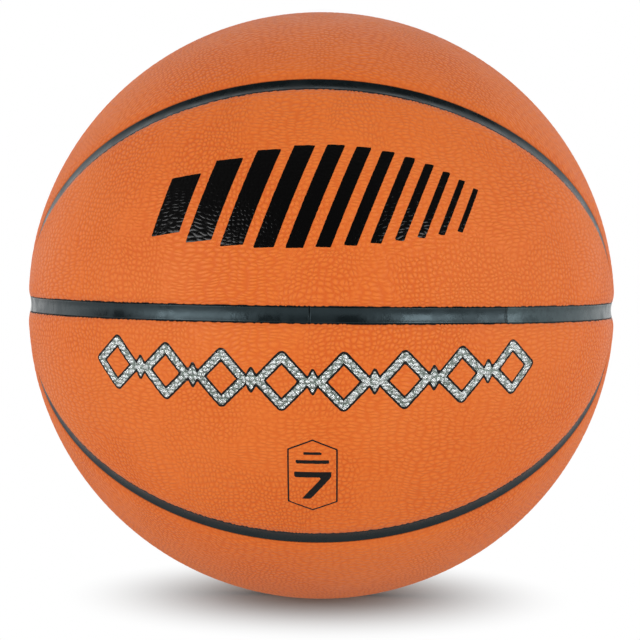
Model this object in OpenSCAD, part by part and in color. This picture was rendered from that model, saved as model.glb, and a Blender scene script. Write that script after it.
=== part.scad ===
// An inflated basketball, built in layers from the inside out: a rubber bladder with its valve,
// a layer of wound thread, a rubber carcass, and a cover of eight panels with rubber strips
// in the channels between them.
//
// The origin is the centre of the ball. +Z is up. One long channel, the equator, lies level in
// the plane z = 0. A second one, the meridian, stands in the plane y = 0. The two ovals lie
// round the -Y and +Y sides and cross the equator near +X and -X.

/* [Ball] */
// Diameter over the cover panels
ball_d = 242; // [215:0.5:245]

/* [Wall layers] */
// Thickness of the cover panels, with their soft backing
panel_t = 2.2; // [1.8:0.1:3]
// Thickness of the rubber carcass under the panels
carcass_t = 0.8; // [0.6:0.1:1.6]
// Thickness of the layer of wound thread
winding_t = 0.5; // [0.4:0.1:1]
// Thickness of the bladder's wall
bladder_t = 0.8; // [0.6:0.1:1.4]

/* [Channels] */
// Width of a channel, from panel edge to panel edge
channel_w = 6.3; // [4:0.1:7]
// Depth of a strip's top below the ball's full radius
channel_depth = 1.3; // [1.1:0.05:1.6]
// Depth of a panel's edge below the full radius
edge_drop = 0.85; // [0.5:0.05:1]
// Width of the sloped border that leads down to a panel's edge
edge_slope_w = 4.7; // [3:0.1:6]

/* [Oval seams] */
// Angle from the middle of a side to the crown of its oval, above and below
crown_angle = 45.6; // [42:0.1:48]
// Angle from the middle of a side to the two ends of its oval
end_angle = 81.2; // [76:0.1:83]
// Angle at the ball's centre that the radius of an oval's round end spans
end_radius_angle = 22; // [18:0.5:26]

/* [Valve] */
// Height of the valve above the equator, as an angle at the ball's centre
valve_elevation = 22; // [18:0.5:26]
// Diameter of the hole in the panel over the valve
valve_hole_d = 7.4; // [7:0.1:9]
// Diameter of the valve's stem, which is also its socket's bore
valve_stem_d = 6; // [5:0.1:6.4]
// Length of the valve from its face to its inner end
valve_length = 15; // [13:0.5:18]
// Depth of the valve's face below the full radius
valve_face_depth = 0.7; // [0.4:0.05:1]
// Diameter of the hole that guides the inflating needle
needle_hole_d = 2; // [1.6:0.1:2.4]
// Depth of the needle's guide hole
needle_hole_depth = 8; // [5:0.5:10]
// Diameter of the rib that locks the valve in its socket
valve_rib_d = 7.6; // [7:0.1:8.2]
// Thickness of that rib
valve_rib_t = 1.5; // [1:0.1:2]
// Distance from the valve's inner end to its rib
valve_rib_place = 1.5; // [1:0.1:2.5]
// Diameter of the housing's collar, which passes through the wall
collar_d = 9.4; // [9:0.1:12]
// Diameter of the housing's neck inside the bladder
neck_d = 12; // [11:0.5:16]
// Diameter of the housing's flange under the bladder
flange_d = 28; // [20:1:40]
// Thickness of the housing's flange
flange_t = 1.2; // [0.8:0.1:2]

/* [Hidden] */
$fn = 180;

leather = "chocolate";
black_rubber = "dimgray";
brown_rubber = "sienna";
thread = "wheat";

// Radii of the faces where the layers meet
ball_r = ball_d / 2;
carcass_r = ball_r - panel_t;
winding_r = carcass_r - carcass_t;
bladder_r = winding_r - winding_t;
inner_r = bladder_r - bladder_t;

// Far enough out to cut through everything from the centre
reach = ball_d;

// Half of a channel's width, as an angle at the centre
half_channel = asin(channel_w / 2 / ball_r);

// A panel's sloped border starts on the ball's surface and ends at the edge. The cut that makes
// it runs on in a straight line to a point just outside the ball.
edge_r = ball_r - edge_drop;
slope_angle = asin(edge_slope_w / ball_r);
flare_side = 2 * ball_r * sin(slope_angle);
flare_up = 2 * ball_r * cos(slope_angle) - edge_r;
flare_angle = atan2(flare_side, flare_up);
flare_r = norm([flare_side, flare_up]);

strip_r = ball_r - channel_depth;

// Each oval seam is four circles of the sphere that run into each other: a long arc above and
// below, and a round end on each side. The angle of the long arcs follows from the three
// driving angles, because the circles touch.
end_centre = end_angle - end_radius_angle;
long_arc_angle = atan2(
    cos(end_radius_angle) - cos(end_centre) * cos(crown_angle),
    cos(end_centre) * sin(crown_angle) - sin(end_radius_angle)
);
long_tilt = long_arc_angle - crown_angle;

// Where the circles touch, as turns about the long arc's axis and about the end's axis
long_start = atan2(cos(end_centre) * sin(long_tilt), sin(end_centre));
end_sweep = atan2(sin(long_tilt), cos(long_tilt) * sin(end_centre));

// Straight steps in a quarter of an oval: the long arcs bend little, the ends bend more
long_steps = 16;
end_steps = 8;

// The valve's own measures, as distances from the ball's centre
valve_face_r = ball_r - valve_face_depth;
valve_end_r = valve_face_r - valve_length;
rib_low_r = valve_end_r + valve_rib_place;
socket_wall = (neck_d - valve_rib_d) / 2;
neck_end_r = valve_end_r - socket_wall;

// A point in the half plane x >= 0, at an angle from the y axis
function ray(angle, radius) = [radius * sin(angle), radius * cos(angle)];

// A direction from the ball's centre, at an angle from the long arc's axis and turned about it
function long_point(angle, turn) =
    let (side = sin(angle) * sin(turn))
    [
        sin(angle) * cos(turn),
        -side * sin(long_tilt) - cos(angle) * cos(long_tilt),
        side * cos(long_tilt) - cos(angle) * sin(long_tilt)
    ];

// The same for the axis of a round end
function end_point(angle, turn) =
    let (side = sin(angle) * cos(turn))
    [
        side * cos(end_centre) + cos(angle) * sin(end_centre),
        side * sin(end_centre) - cos(angle) * cos(end_centre),
        sin(angle) * sin(turn)
    ];

// A quarter of the -Y side's oval, from its end on the equator up to its crown, as directions
// shifted outwards from the seam by an angle
function quarter(shift) = concat(
    [for (k = [0:end_steps - 1]) end_point(end_radius_angle + shift, end_sweep * k / end_steps)],
    [
        for (k = [0:long_steps])
            long_point(long_arc_angle + shift, long_start + (90 - long_start) * k / long_steps)
    ]
);

function run(points, from, to) = [for (k = [from:sign(to - from):to]) points[k]];

function mirrored(points, x_sign, z_sign) = [for (p = points) [p.x * x_sign, p.y, p.z * z_sign]];

// All four quarters in order
function oval(shift) =
    let (part = quarter(shift), last = len(part) - 1)
    concat(
        part,
        mirrored(run(part, last - 1, 0), -1, 1),
        mirrored(run(part, 1, last), -1, -1),
        mirrored(run(part, last - 1, 1), 1, -1)
    );

// All that lies within the -Y side's oval, shifted outwards by an angle. It is a cone from the
// ball's centre whose walls, from a panel's edge outwards, lean by flare: 1 away from the
// oval's middle, -1 towards it, and 0 straight on.
module inside_oval(shift, flare) {
    edge_loop = oval(shift);
    far_loop = oval(shift + flare * flare_angle);
    n = len(edge_loop);
    tip = 3 * n + 1;
    polyhedron(
        points = concat(
            [[0, 0, 0]],
            edge_r * edge_loop,
            flare_r * far_loop,
            reach * far_loop,
            [[0, -2 * reach, 0]]
        ),
        faces = [
            for (k = [0:n - 1])
                let (a = 1 + k, b = 1 + (k + 1) % n)
                each [
                    [0, a, b],
                    [b, a, a + n, b + n],
                    [b + n, a + n, a + 2 * n, b + 2 * n],
                    [b + 2 * n, a + 2 * n, tip]
                ]
        ]
    );
}

// All that lies above the equator's channel, or with flare what lies above its sloped border
module above_equator(flare) {
    edge = 90 - half_channel;
    far = edge - flare * flare_angle;
    rotate_extrude() polygon([
        [0, 0],
        ray(edge, edge_r),
        ray(far, flare_r),
        ray(far, reach),
        ray(far / 2, reach),
        ray(0, reach)
    ]);
}

// The same in front of the meridian's channel
module before_meridian(flare) {
    rotate([90, 0, 0]) above_equator(flare);
}

// One layer of the ball's wall
module shell(outer_r, inner_r) {
    difference() {
        sphere(r = outer_r);
        sphere(r = inner_r);
    }
}

module cover() {
    shell(ball_r, carcass_r);
}

module strip_layer() {
    shell(strip_r, carcass_r);
}

// What repeats is drawn on the -Y side of the upper half. The others are its mirror images.
module placed(back, lower) {
    mirror([0, back ? 1 : 0, 0]) mirror([0, 0, lower ? 1 : 0]) children();
}

// A round solid on the valve's axis, between two distances from the ball's centre
module on_valve_axis(diameter, from, to) {
    rotate([valve_elevation - 90, 0, 0]) translate([0, 0, from])
        cylinder(d = diameter, h = to - from);
}

module bladder() {
    color(black_rubber) difference() {
        shell(bladder_r, inner_r);
        on_valve_axis(collar_d, 0, reach);
    }
}

// Thread wound round the bladder in every direction and bonded, which makes one even layer
module winding() {
    color(thread) difference() {
        shell(winding_r, bladder_r);
        on_valve_axis(collar_d, 0, reach);
    }
}

module carcass() {
    color(brown_rubber) difference() {
        shell(carcass_r, winding_r);
        on_valve_axis(collar_d, 0, reach);
    }
}

// The socket that holds the valve: a flange under the bladder, a neck that reaches inwards and
// a collar that passes through the wall to the underside of the panel
module valve_housing() {
    color(black_rubber) difference() {
        union() {
            intersection() {
                shell(inner_r, inner_r - flange_t);
                on_valve_axis(flange_d, 0, reach);
            }
            intersection() {
                sphere(r = inner_r);
                on_valve_axis(neck_d, neck_end_r, reach);
            }
            intersection() {
                sphere(r = carcass_r);
                on_valve_axis(collar_d, valve_end_r, reach);
            }
        }
        on_valve_axis(valve_stem_d, valve_end_r, reach);
        on_valve_axis(valve_rib_d, rib_low_r, rib_low_r + valve_rib_t);
        on_valve_axis(needle_hole_d, 0, reach);
    }
}

// The self-sealing valve: a rubber plug with a head, a locking rib and a blind guide hole. Below
// the guide hole, the needle parts a slit that the rubber keeps closed.
module valve() {
    color(black_rubber) difference() {
        union() {
            on_valve_axis(valve_stem_d, valve_end_r, valve_face_r);
            on_valve_axis(valve_rib_d, rib_low_r, rib_low_r + valve_rib_t);
            on_valve_axis(valve_hole_d, carcass_r, valve_face_r);
        }
        on_valve_axis(needle_hole_d, valve_face_r - needle_hole_depth, reach);
    }
}

module strip_equator() {
    color(black_rubber) difference() {
        strip_layer();
        above_equator(0);
        mirror([0, 0, 1]) above_equator(0);
    }
}

// Half of the strip along the meridian. Its ends butt against the equator's strip.
module strip_meridian(lower) {
    color(black_rubber) placed(false, lower) difference() {
        intersection() {
            strip_layer();
            above_equator(0);
        }
        before_meridian(0);
        mirror([0, 1, 0]) before_meridian(0);
    }
}

// Half of the strip along an oval, which butts against the equator's strip in the same way
module strip_oval(back, lower) {
    color(black_rubber) placed(back, lower) difference() {
        intersection() {
            strip_layer();
            above_equator(0);
            inside_oval(half_channel, 0);
        }
        inside_oval(-half_channel, 0);
    }
}

// A half-oval panel, between the equator and one side's oval
module oval_panel(back, lower) {
    color(leather) placed(back, lower) intersection() {
        cover();
        above_equator(1);
        inside_oval(-half_channel, -1);
    }
}

// An arched panel, between an oval and the meridian, narrow at its two ends
module arch_panel(back, lower) {
    color(leather) placed(back, lower) difference() {
        intersection() {
            cover();
            above_equator(1);
            before_meridian(1);
        }
        inside_oval(half_channel, 1);
    }
}

// The half-oval panel that has the hole for the valve
module panel_back_upper() {
    difference() {
        oval_panel(true, false);
        on_valve_axis(valve_hole_d, 0, reach);
    }
}

bladder();
valve_housing();
valve();
winding();
carcass();
strip_equator();
strip_meridian(false);  // strip_meridian_upper
strip_meridian(true);  // strip_meridian_lower
strip_oval(false, false);  // strip_oval_front_upper
strip_oval(false, true);  // strip_oval_front_lower
strip_oval(true, false);  // strip_oval_back_upper
strip_oval(true, true);  // strip_oval_back_lower
oval_panel(false, false);  // panel_front_upper
oval_panel(false, true);  // panel_front_lower
panel_back_upper();
oval_panel(true, true);  // panel_back_lower
arch_panel(false, false);  // arch_panel_front_upper
arch_panel(false, true);  // arch_panel_front_lower
arch_panel(true, false);  // arch_panel_back_upper
arch_panel(true, true);  // arch_panel_back_lower
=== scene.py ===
# %% [markdown]
# # A basketball, from bare solids to pebbled leather
#
# The CAD model of this ball holds eight cover panels, the rubber strips between them, a valve and
# the layers inside. It is loaded as a fixed frame, in metres, with the centre of the ball at the
# origin and the viewer on the -Y side. Blender adds what the solids leave out: pebbles and rolled
# edges on the leather, the hollow of the strips, ink and foil, light and a camera.

# %% Load the frame
import math

import bpy
import numpy as np
from mathutils import Matrix, Vector


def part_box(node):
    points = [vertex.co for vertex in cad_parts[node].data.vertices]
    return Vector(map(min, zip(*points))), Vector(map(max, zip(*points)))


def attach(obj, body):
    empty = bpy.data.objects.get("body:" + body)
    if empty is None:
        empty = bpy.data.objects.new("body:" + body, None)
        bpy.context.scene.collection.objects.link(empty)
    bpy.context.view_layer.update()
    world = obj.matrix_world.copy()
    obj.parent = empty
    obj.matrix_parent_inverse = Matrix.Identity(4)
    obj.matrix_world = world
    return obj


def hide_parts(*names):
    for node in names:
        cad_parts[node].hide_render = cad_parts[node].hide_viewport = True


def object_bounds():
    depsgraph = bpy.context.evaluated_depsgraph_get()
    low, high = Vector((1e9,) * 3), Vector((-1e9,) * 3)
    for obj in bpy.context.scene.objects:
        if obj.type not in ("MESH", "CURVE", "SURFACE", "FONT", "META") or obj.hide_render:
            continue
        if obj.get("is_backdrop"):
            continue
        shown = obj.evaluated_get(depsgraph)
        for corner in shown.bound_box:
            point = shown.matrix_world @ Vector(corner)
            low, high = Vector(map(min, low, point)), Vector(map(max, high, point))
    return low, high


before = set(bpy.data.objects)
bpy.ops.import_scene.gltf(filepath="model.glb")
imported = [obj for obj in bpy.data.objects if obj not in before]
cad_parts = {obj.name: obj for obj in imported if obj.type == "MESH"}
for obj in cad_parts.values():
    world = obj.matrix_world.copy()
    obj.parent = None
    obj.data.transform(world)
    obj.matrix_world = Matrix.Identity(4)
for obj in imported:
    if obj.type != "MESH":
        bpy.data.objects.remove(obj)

cad_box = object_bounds()
print("CAD nodes:", ", ".join(sorted(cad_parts)))
print("CAD box:", cad_box)

# %% [markdown]
# ## The measures of the ball
#
# A piece that takes the place of a solid has to fit where the solid was. The measures below are
# the ones the solids were drawn with, and the boxes of two solids show whether they still agree.
# The cover is kept a hair under the full radius, so that nothing stands out of the CAD box.

# %% Measures, in metres
BALL_R = 0.121
COVER_R = 0.12095
CARCASS_R = 0.1188
CHANNEL_W = 0.0063
STRIP_MIDDLE_DEPTH = 0.00147
STRIP_LIP_DEPTH = 0.00093
EDGE_DROP = 0.00085
LAYER_GAP = 0.00004

half_channel = CHANNEL_W / 2
channel_angle = math.asin(half_channel / BALL_R)
panel_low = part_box("panel_front_upper")[0]
strip_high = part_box("strip_equator")[1]
print(f"half a channel is {half_channel * 1000} mm, the panel starts at {panel_low.z * 1000:.2f} mm")
print(f"the ball's radius is {BALL_R * 1000} mm, the strip reaches {strip_high.x * 1000:.2f} mm")

# %% [markdown]
# ## The seams
#
# Two great circles cross at the sides of the ball: the equator lies level and the meridian stands
# upright. An oval runs round the front and another round the back. Each is made of four circles of
# the sphere that run into each other, a long arc above and below and a tight one at each end. All
# of it is worked out for the upper front quarter of the ball, and mirrored to the other three.

# %% Circles that make the oval
CROWN = math.radians(45.6)
OVAL_END = math.radians(81.2)
END_R = math.radians(22)

end_centre = OVAL_END - END_R
long_r = math.atan2(
    math.cos(END_R) - math.cos(end_centre) * math.cos(CROWN),
    math.cos(end_centre) * math.sin(CROWN) - math.sin(END_R),
)
tilt = long_r - CROWN
long_start = math.atan2(math.cos(end_centre) * math.sin(tilt), math.sin(end_centre))
end_sweep = math.atan2(math.sin(tilt), math.cos(tilt) * math.sin(end_centre))

LONG_AXIS = np.array([0, -math.cos(tilt), -math.sin(tilt)])
LONG_TOWARDS = np.array([1, 0, 0])
END_AXIS = np.array([math.sin(end_centre), -math.cos(end_centre), 0])
END_TOWARDS = np.array([math.cos(end_centre), math.sin(end_centre), 0])
MIRROR_X = np.array([-1, 1, 1])
print(f"long arcs lie {math.degrees(long_r):.1f} degrees from their axis")


# %% Directions on a circle, and on a whole oval
def unit(vectors):
    """The same directions with length 1."""
    return vectors / np.linalg.norm(vectors, axis=-1, keepdims=True)


def circle(axis, towards, angle, turns):
    """Directions that lie at an angle from axis, turned about it from towards."""
    turns = np.asarray(turns)[..., None]
    ring = np.cos(turns) * towards + np.sin(turns) * np.cross(axis, towards)
    return math.cos(angle) * axis + math.sin(angle) * ring


def away_from(points, axes):
    """At each point, the direction on the sphere that leads away from an axis."""
    return unit((points * axes).sum(-1, keepdims=True) * points - axes)


def oval_lengths(shift, start):
    """The first turn of an end circle, and the lengths of an end and of the long arc."""
    first = math.asin(math.sin(start) / math.sin(END_R + shift))
    end = math.sin(END_R + shift) * (end_sweep - first)
    return first, end, math.sin(long_r + shift) * (math.pi - 2 * long_start)


def oval_path(shift, start, shares):
    """Directions along the upper half of the front oval, from its right end to its left one, and
    the ways out of the oval there. shift moves the path outwards, start is its first latitude."""
    first, end, long = oval_lengths(shift, start)
    along = np.asarray(shares) * (2 * end + long)
    from_end = np.minimum(along, 2 * end + long - along)
    turns = first + from_end / math.sin(END_R + shift)
    right = circle(END_AXIS, END_TOWARDS, END_R + shift, turns)
    turns = long_start + (along - end) / math.sin(long_r + shift)
    top = circle(LONG_AXIS, LONG_TOWARDS, long_r + shift, turns)
    flip = np.where((along > end)[:, None], MIRROR_X, 1)
    on_end = (from_end < end)[:, None]
    points = np.where(on_end, right * flip, top)
    return points, away_from(points, np.where(on_end, END_AXIS * flip, LONG_AXIS))


_, end_length, long_length = oval_lengths(0, channel_angle)
print(f"half an oval is {(2 * end_length + long_length) * BALL_R * 1000:.0f} mm long")

# %% [markdown]
# ## How far is it to a seam?
#
# Rolled edges, darker edges and round corners all depend on how far a point lies from the edges of
# its panel. On a sphere such a distance is an angle times the radius. It is worked out for every
# vertex, and kept as an attribute of the mesh so that the materials can read it too.


# %% Distances from the seams
def angle_from_oval(points):
    """How far directions of the front lie outside the oval's middle line. It is below 0 inside."""
    right = points * np.where(points[..., :1] < 0, MIRROR_X, 1)
    from_long = np.arccos(np.clip(right @ LONG_AXIS, -1, 1)) - long_r
    from_end = np.arccos(np.clip(right @ END_AXIS, -1, 1)) - END_R
    return np.where(right @ np.cross(LONG_AXIS, END_AXIS) < 0, from_end, from_long)


def edge_distances(points, arch):
    """Metres from the edges of a panel: the equator's edge, the oval's and the meridian's."""
    equator = np.arcsin(points[..., 2]) - channel_angle
    sign = 1 if arch else -1
    oval = sign * angle_from_oval(points) - channel_angle
    meridian = np.arcsin(-points[..., 1]) - channel_angle
    if not arch:
        meridian = np.full_like(meridian, math.pi)
    return np.stack([equator, oval, meridian]) * BALL_R


def ways_from_edges(points, arch):
    """The directions on the sphere that lead away from those three edges."""
    side = np.where(points[..., :1] < 0, END_AXIS * MIRROR_X, END_AXIS)
    sources = [-np.array([0, 0, 1.0]), side if arch else -side, np.array([0, 1.0, 0])]
    return [away_from(points, source) for source in sources]


gaps = edge_distances(unit(np.array([[0, -1.0, 0.4]])), False)[:2, 0]
print("a point of the front panel lies", np.round(gaps * 1000, 1), "mm from its edges")

# %% [markdown]
# ## A panel as a grid of points
#
# A real panel is die-cut from a flat sheet and stretched over the carcass. Here it is a grid
# between four border curves, like a net pulled taut in a bent frame. Such a grid is called a Coons
# patch: add what the two pairs of borders say, and take away what both said about the corners.
# Pushed out to the sphere, it has no poles and nearly square cells, at most 0.7 mm wide, which is
# fine enough for pebbles in the mesh itself.

# %% Grid of a panel
PANEL_STEPS = {False: (528, 156), True: (576, 144)}
BORDER_CELLS = (0.25, 0.35, 0.5, 0.7)
COARSE = 6


def spread(count):
    """Places from 0 to 1 that lie closer together near both ends."""
    widths = np.ones(count)
    for k, width in enumerate(BORDER_CELLS):
        widths[k] = widths[-1 - k] = width
    return np.concatenate([[0], np.cumsum(widths)]) / widths.sum()


def patch(low, high, right, left, u, v):
    """The net between four borders, as directions."""
    u, v = u[:, None, None], v[None, :, None]
    net = (1 - v) * low[:, None] + v * high[:, None] + (1 - u) * right[None] + u * left[None]
    net = net - (1 - u) * (1 - v) * low[0] - u * (1 - v) * low[-1]
    return unit(net - (1 - u) * v * high[0] - u * v * high[-1])


def level(latitude, longitudes):
    """Directions at one height above the equator. Longitudes count from the viewer's side."""
    flat = np.cos(latitude)
    return np.stack(
        [flat * np.sin(longitudes), -flat * np.cos(longitudes), np.full_like(longitudes, np.sin(latitude))],
        axis=-1,
    )


# %% [markdown]
# The half-oval panel has the equator below it and the oval round its top. The arched panel lies
# behind it, from the oval to the meridian, and comes down to the equator in two narrow feet.


# %% The two shapes of panel
def longitude(point):
    return math.atan2(point[0], -point[1])


def oval_panel_net():
    """Directions of the front upper half-oval panel: from right to left, and upwards."""
    u, v = [spread(n) for n in PANEL_STEPS[False]]
    first, _, _ = oval_lengths(-channel_angle, channel_angle)
    right = circle(END_AXIS, END_TOWARDS, END_R - channel_angle, first + v * (end_sweep - first))
    turns = long_start + u * (math.pi - 2 * long_start)
    high = circle(LONG_AXIS, LONG_TOWARDS, long_r - channel_angle, turns)
    corner = longitude(right[0])
    return patch(level(channel_angle, corner * (1 - 2 * u)), high, right, right * MIRROR_X, u, v)


def arch_panel_net():
    """Directions of the front upper arched panel: from right to left, and towards the meridian."""
    u, v = [spread(n) for n in PANEL_STEPS[True]]
    low, _ = oval_path(channel_angle, channel_angle, u)
    start = math.asin(math.tan(channel_angle))
    turns = start + u * (math.pi - 2 * start)
    side = np.full_like(turns, -math.tan(channel_angle))
    high = unit(np.stack([np.cos(turns), side, np.sin(turns)], axis=-1))
    near, far = longitude(low[0]), longitude(high[0])
    right = level(channel_angle, near + v * (far - near))
    return patch(low, high, right, right * MIRROR_X, u, v)


for net in (oval_panel_net(), arch_panel_net()):
    cell = np.linalg.norm(net[1:] - net[:-1], axis=-1).max() * BALL_R * 1000
    print("net of", net.shape[:2], "points, widest cell", round(cell, 2), "mm")

# %% [markdown]
# ## Round corners and rolled edges
#
# Sharp corners would curl up in play, so the die rounds them. Near a corner both edge distances
# are small, and a square there is squeezed into a quarter disc, which keeps the grid tidy.
#
# Each panel's border is skived, which means pared thin, and rolls down into the channel. The drop
# grows with the closeness to an edge and ends in a small rounding of its own.

# %% Corner and edge shapes
CORNER_R = 0.0021
ROLL_W = 0.0054
ROLL_POWER = 2.2
ROUNDING_R = 0.0002


def closeness(distance, reach):
    """1 at an edge, falling evenly to 0 where the reach ends."""
    return np.clip(1 - distance / reach, 0, 1)


def round_corners(points, arch):
    """Draws the points near a corner in, so that the corner is round."""
    distances = edge_distances(points, arch)
    ways = ways_from_edges(points, arch)
    moved = points.copy()
    for one, other in ((0, 1), (0, 2)):
        a, b = closeness(distances[one], CORNER_R), closeness(distances[other], CORNER_R)
        move_a = a - a * np.sqrt(1 - b * b / 2)
        move_b = b - b * np.sqrt(1 - a * a / 2)
        step = move_a[..., None] * ways[one] + move_b[..., None] * ways[other]
        moved = moved + step * CORNER_R / BALL_R
    return unit(moved)


def nearest_edge(distances):
    """The distance from the nearest edge, measured round the corners."""
    nearest = distances.min(0)
    for other in (1, 2):
        a, b = closeness(distances[0], CORNER_R), closeness(distances[other], CORNER_R)
        round_one = CORNER_R * (1 - np.hypot(a, b))
        nearest = np.where((a > 0) & (b > 0), round_one, nearest)
    return np.maximum(nearest, 0)


def rounding(distance):
    """The drop of a small quarter circle at an edge."""
    short = np.clip(ROUNDING_R - distance, 0, ROUNDING_R)
    return ROUNDING_R - np.sqrt(ROUNDING_R**2 - short**2)


def edge_drop(distances):
    """How far the cover lies below its full radius, for distances from three edges."""
    rolls = EDGE_DROP * closeness(distances, ROLL_W) ** ROLL_POWER
    return np.sqrt((rolls**2).sum(0)) + rounding(nearest_edge(distances))


drops = edge_drop(np.array([[0, 0.002, 0.004], [1, 1, 1], [1, 1, 1]]))
print("drop at 0, 2 and 4 mm from an edge:", np.round(drops * 1000, 2), "mm")

# %% [markdown]
# ## The hole for the valve
#
# The upper panel of the back has a punched hole. A grid has no holes, so a square block of cells is
# left out, and the rings of vertices round it are eased from the square into a circle.

# %% Valve hole
VALVE_LATITUDE = math.radians(22)
VALVE_HOLE_R = 0.0037
HOLE_HALF = 6
HOLE_RINGS = 12
RING_W = 0.0005
HOLE_DROP = 0.00035
HOLE_ROLL_W = 0.0018


def place_and_up(latitude):
    """A direction to the middle of the front at this latitude, and the way up from there."""
    cos, sin = math.cos(latitude), math.sin(latitude)
    return np.array([0, -cos, sin]), np.array([0, sin, cos])


def hole_block(net):
    """The grid place of the block that is left out: its middle column and row."""
    column = net.shape[0] // 2
    row = np.abs(np.arcsin(net[column, :, 2]) - VALVE_LATITUDE).argmin()
    return column, int(round(row / COARSE)) * COARSE


def open_hole(net):
    """Eases the rings round the left-out block into a circle. Gives the net and the distances
    from the hole's edge."""
    column, row = hole_block(net)
    middle, up = place_and_up(VALVE_LATITUDE)
    offsets = np.stack([net[..., 0], net @ up], axis=-1) * BALL_R
    far = np.linalg.norm(offsets, axis=-1, keepdims=True)
    i, j = np.indices(net.shape[:2])
    ring = np.maximum(np.abs(i - column), np.abs(j - row)) - HOLE_HALF
    share = np.clip(ring / HOLE_RINGS, 0, 1)[..., None]
    share = share * share * (3 - 2 * share)
    wanted = VALVE_HOLE_R + np.clip(ring, 0, None)[..., None] * RING_W
    length = wanted + (far - wanted) * share
    eased = offsets / np.maximum(far, 1e-9) * length / BALL_R
    near = ((ring >= 0) & (ring <= HOLE_RINGS))[..., None]
    direction = unit(middle + eased[..., :1] * np.array([1.0, 0, 0]) + eased[..., 1:] * up)
    opened = np.where(near, direction, net)
    from_hole = np.arccos(np.clip(opened @ middle, -1, 1)) * BALL_R - VALVE_HOLE_R
    return opened, np.where(ring >= 0, from_hole, 0)


print("the hole's block lies at column and row", hole_block(oval_panel_net()))

# %% [markdown]
# ## Closing a net into a solid sheet
#
# A panel is a sheet 2 mm thick, so the net needs walls and an underside. The underside never shows
# and lies on the carcass, so it takes one large cell for every 36 small ones. Its cells at the
# border keep all the small vertices on that side, which keeps the mesh watertight.


# %% Faces of a closed sheet
def kept_cells(columns, rows, block):
    """Which cells of the net are there. block is the middle of the hole, or None."""
    cells = np.ones((columns, rows), bool)
    if block:
        i, j = block
        cells[i - HOLE_HALF : i + HOLE_HALF, j - HOLE_HALF : j + HOLE_HALF] = False
    return cells


# Each side of a cell: the cell beyond it, and the side's first and last corner
SIDES = (
    ((0, -1), (0, 0), (1, 0)),
    ((1, 0), (1, 0), (1, 1)),
    ((0, 1), (1, 1), (0, 1)),
    ((-1, 0), (0, 1), (0, 0)),
)


def walls(cells):
    """The border edges of the cells, each with the cell on its left, as pairs of grid places."""
    padded = np.pad(cells, 1)
    for (x, y), (a, b), (c, d) in SIDES:
        beyond = padded[1 + x : x - 1 or None, 1 + y : y - 1 or None]
        for i, j in np.argwhere(cells & ~beyond):
            yield (i + a, j + b), (i + c, j + d)


def underside(cells, borders):
    """The large cells of the underside, with every small vertex on their border sides."""
    columns, rows = cells.shape
    for i in range(0, columns, COARSE):
        for j in range(0, rows, COARSE):
            if not cells[i, j]:
                continue
            corners = [(i, j), (i + COARSE, j), (i + COARSE, j + COARSE), (i, j + COARSE)]
            loop = []
            for k in range(4):
                (x, y), (far_x, far_y) = corners[k], corners[(k + 1) % 4]
                step = ((far_x - x) // COARSE, (far_y - y) // COARSE)
                if ((x, y), (x + step[0], y + step[1])) in borders:
                    loop += [(x + n * step[0], y + n * step[1]) for n in range(COARSE)]
                else:
                    loop.append((x, y))
            yield loop


def closed_sheet(top, bottom, cells):
    """Vertices and faces of a sheet between two nets, the vertices of the top first."""
    columns, rows = top.shape[:2]
    number = np.arange(columns * rows).reshape(columns, rows)
    below = number + number.size
    i, j = np.nonzero(cells)
    quads = np.stack([number[i, j], number[i, j + 1], number[i + 1, j + 1], number[i + 1, j]], axis=1)
    faces = quads.tolist()
    borders = set(walls(cells))
    for start, end in borders:
        faces.append([number[start], number[end], below[end], below[start]])
    for loop in underside(cells, borders):
        faces.append([below[place] for place in loop])
    points = np.concatenate([top.reshape(-1, 3), bottom.reshape(-1, 3)])
    return points, faces


# %% [markdown]
# ## Where a panel lies on its leather sheet
#
# The pebbles are pressed into the flat sheet before the panels are cut, so each vertex remembers
# its place on that sheet. The map is the one an atlas uses for a country: angles along the panel
# and across it, narrowed a little, so that it is nearly true to size everywhere. Each panel is cut
# from another part of the sheet, so no two look alike.

# %% Places on the sheet
SHEET_NARROWING = {False: math.cos(math.radians(18)), True: math.cos(math.radians(20))}
NEXT_CUT = np.array([0.45, 0.31, 0.2])


def sheet_places(points, arch, number):
    """Each direction's place on the leather sheet, in metres."""
    x, y, z = np.moveaxis(points, -1, 0)
    along, across = (np.arctan2(z, x), np.arcsin(-y)) if arch else (np.arctan2(x, -y), np.arcsin(z))
    flat = np.stack([along * SHEET_NARROWING[arch], across, np.zeros_like(across)], axis=-1)
    return flat * BALL_R + NEXT_CUT * number


# %% [markdown]
# ## Ink and foil
#
# Two of the panels are printed. Three motifs are drawn here, all of them plain geometry: a row of
# leaning bars in black ink, a chain of rhombs in silver foil with a black outline, and a small
# frame with a 7, the number that marks a full-size ball.
#
# Each vertex holds its distance from a motif's outline. The colour changes where the distance
# passes 0, and between vertices that place stays sharp, so the motifs need no cuts in the mesh.

# %% Distances from outlines
FAR_OFF = 0.02


def outline_distance(places, corners):
    """Metres from the outline of a shape with these corners. It is below 0 inside."""
    corners = np.asarray(corners, float)
    nearest = np.full(len(places), np.inf)
    inside = np.zeros(len(places), bool)
    for start, end in zip(corners, np.roll(corners, -1, axis=0)):
        side = end - start
        to = places - start
        share = np.clip(to @ side / (side @ side), 0, 1)
        nearest = np.minimum(nearest, np.linalg.norm(to - share[:, None] * side, axis=1))
        crosses = (start[1] > places[:, 1]) != (end[1] > places[:, 1])
        rise = side[1] if side[1] else 1e-12
        inside ^= crosses & (places[:, 0] < start[0] + (places[:, 1] - start[1]) * side[0] / rise)
    return np.where(inside, -nearest, nearest)


def union_distance(places, shapes):
    """Metres from the nearest outline of several shapes."""
    nearest = np.full(len(places), FAR_OFF)
    for shape in shapes:
        nearest = np.minimum(nearest, outline_distance(places, shape))
    return nearest


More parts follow.
